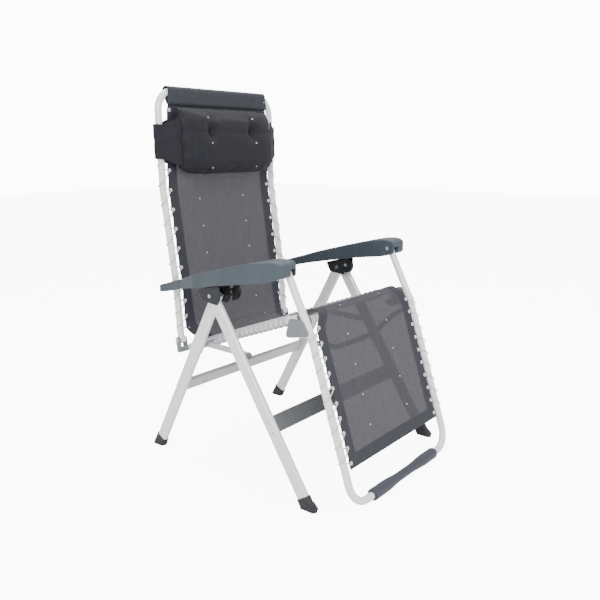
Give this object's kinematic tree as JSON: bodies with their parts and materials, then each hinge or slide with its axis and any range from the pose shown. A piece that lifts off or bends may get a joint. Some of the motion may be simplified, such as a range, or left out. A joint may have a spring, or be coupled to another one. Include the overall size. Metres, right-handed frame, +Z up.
{
  "type": "zero gravity recliner",
  "caption": "Folding camping recliner with laced sling seat, back and legrest, moulded armrests, sliding head pillow and foam foot bar.",
  "frame": {"origin": "middle of the bounding box, at floor level", "axes": "chair faces -Y, sitter's left is +X, up is +Z"},
  "size_m": [0.692, 0.8068, 1.1512],
  "materials": {
    "leg_tube": "satin silver-white coat on flat-oval tube",
    "frame_tube": "satin white coat on round tube",
    "bowed_tube": "satin white coat on thin tube",
    "rear_bar": "satin light grey coat",
    "front_bar": "satin metallic mid grey",
    "rivet": "plated rivet",
    "pin_steel": "plated steel pin",
    "strut_steel": "flat steel strut",
    "fitting_plastic": "black nylon",
    "cast_fitting": "mid grey moulded fitting",
    "hub_plastic": "dark grey moulded nylon",
    "lever_plastic": "black moulded nylon",
    "armrest_plastic": "slate grey moulded plastic, fine grain",
    "foot_rubber": "black rubber",
    "grip_foam": "dark blue-grey foam",
    "sling_fabric": "purple-grey open weave",
    "hem_fabric": "dark grey woven trim",
    "pillow_fabric": "dark grey padded weave",
    "eyelet": "white coated eyelet",
    "lacing_cord": "white elastic cord"
  },
  "bodies": {
    "base": {"rear_leg_left": "leg_tube", "rear_leg_right": "leg_tube", "rear_crossbar": "rear_bar", "rear_crossbar_rivets": "rivet", "rear_foot_left": "foot_rubber", "rear_foot_right": "foot_rubber", "hub_left": "hub_plastic", "hub_right": "hub_plastic", "hub_rivets": "rivet", "lock_lever_rivets": "rivet", "seat_bracket_left": "cast_fitting", "seat_bracket_right": "cast_fitting"},
    "front_legs": {"front_leg_left": "leg_tube", "front_leg_right": "leg_tube", "front_crossbar": "front_bar", "front_crossbar_rivets": "rivet", "front_foot_left": "foot_rubber", "front_foot_right": "foot_rubber"},
    "struts": {"strut_left": "strut_steel", "strut_right": "strut_steel", "strut_runners": "fitting_plastic"},
    "seat_pivot": {"seat_pivot_pins": "pin_steel"},
    "seat": {"seat_rail_left": "frame_tube", "seat_rail_right": "frame_tube", "knee_elbow_left": "cast_fitting", "knee_elbow_right": "cast_fitting", "back_hinge_bracket_left": "cast_fitting", "back_hinge_bracket_right": "cast_fitting", "seat_sling": "sling_fabric", "seat_lacing_left": "lacing_cord", "seat_lacing_right": "lacing_cord"},
    "back_hinge": {"back_hinge_pins": "pin_steel"},
    "back": {"back_frame": "frame_tube", "back_tube_ends": "frame_tube", "back_sling": "sling_fabric", "top_sleeve": "hem_fabric", "back_eyelets": "eyelet", "back_lacing_left": "lacing_cord", "back_lacing_right": "lacing_cord"},
    "arm_hinge": {"armrest_rear_pins": "pin_steel"},
    "armrests": {"armrest_left": "armrest_plastic", "armrest_right": "armrest_plastic", "armrest_front_rivets": "rivet", "armrest_washer_left": "armrest_plastic", "armrest_washer_right": "armrest_plastic"},
    "knee_hinge": {"knee_pins": "pin_steel"},
    "legrest": {"legrest_frame": "frame_tube", "legrest_cross_tube": "bowed_tube", "foot_grip": "grip_foam", "legrest_sling": "sling_fabric", "legrest_eyelets": "eyelet", "legrest_lacing_left": "lacing_cord", "legrest_lacing_right": "lacing_cord"},
    "headrest": {"headrest_pillow": "pillow_fabric", "headrest_strap": "hem_fabric"},
    "lever_left": {"lock_lever_left": "lever_plastic"},
    "lever_right": {"lock_lever_right": "lever_plastic"}
  },
  "joints": [
    {"name": "fold", "type": "hinge", "parent": "base", "child": "front_legs", "pos_m": [0, 0.082, 0.551], "axis": [-1, 0, 0], "range_deg": [-36.05, 0.01]},
    {"name": "strut_swing", "type": "hinge", "parent": "base", "child": "struts", "pos_m": [0, 0.17074, 0.38526], "axis": [1, 0, 0], "range_deg": [-0.01, 69.06]},
    {"name": "seat_fold", "type": "hinge", "parent": "base", "child": "seat_pivot", "pos_m": [0, 0.17074, 0.38526], "axis": [1, 0, 0], "range_deg": [-34.87, 0]},
    {"name": "seat_tilt", "type": "hinge", "parent": "seat_pivot", "child": "seat", "pos_m": [0, 0.17074, 0.38526], "axis": [-1, 0, 0], "range_deg": [0, 21.39]},
    {"name": "back_fold", "type": "hinge", "parent": "seat", "child": "back_hinge", "pos_m": [0, 0.303, 0.364], "axis": [1, 0, 0], "range_deg": [-0.01, 60.53]},
    {"name": "recline", "type": "hinge", "parent": "back_hinge", "child": "back", "pos_m": [0, 0.303, 0.364], "axis": [-1, 0, 0], "range_deg": [-0.01, 46.05]},
    {"name": "arm_fold", "type": "hinge", "parent": "back", "child": "arm_hinge", "pos_m": [0, 0.341, 0.533], "axis": [1, 0, 0], "range_deg": [-60.53, 0.01]},
    {"name": "arm_tilt", "type": "hinge", "parent": "arm_hinge", "child": "armrests", "pos_m": [0, 0.341, 0.533], "axis": [1, 0, 0], "range_deg": [-0.01, 46.05]},
    {"name": "knee_fold", "type": "hinge", "parent": "seat", "child": "knee_hinge", "pos_m": [0, -0.189, 0.476], "axis": [1, 0, 0], "range_deg": [-0.01, 60.53]},
    {"name": "legrest_lift", "type": "hinge", "parent": "knee_hinge", "child": "legrest", "pos_m": [0, -0.189, 0.476], "axis": [-1, 0, 0], "range_deg": [-0.01, 46.05]},
    {"name": "headrest_slide", "type": "slide", "parent": "back", "child": "headrest", "axis": [0, 0.0298, 0.9996], "range_m": [-0.1, 0]},
    {"name": "lock_lever_left", "type": "hinge", "parent": "base", "child": "lever_left", "pos_m": [0, 0.036, 0.565], "axis": [1, 0, 0], "range_deg": [0, 30]},
    {"name": "lock_lever_right", "type": "hinge", "parent": "base", "child": "lever_right", "pos_m": [0, 0.036, 0.565], "axis": [1, 0, 0], "range_deg": [0, 30]}
  ],
  "couplings": [
    {"joint": "fold", "follows": "seat_fold", "ratio": 1.0325},
    {"joint": "strut_swing", "follows": "seat_fold", "ratio": -1.9793},
    {"joint": "back_fold", "follows": "seat_fold", "ratio": -1.7346},
    {"joint": "knee_fold", "follows": "seat_fold", "ratio": -1.7346},
    {"joint": "arm_fold", "follows": "seat_fold", "ratio": 1.7346},
    {"joint": "recline", "follows": "seat_tilt", "ratio": 2.1505},
    {"joint": "legrest_lift", "follows": "seat_tilt", "ratio": 2.1505},
    {"joint": "arm_tilt", "follows": "seat_tilt", "ratio": 2.1505}
  ]
}
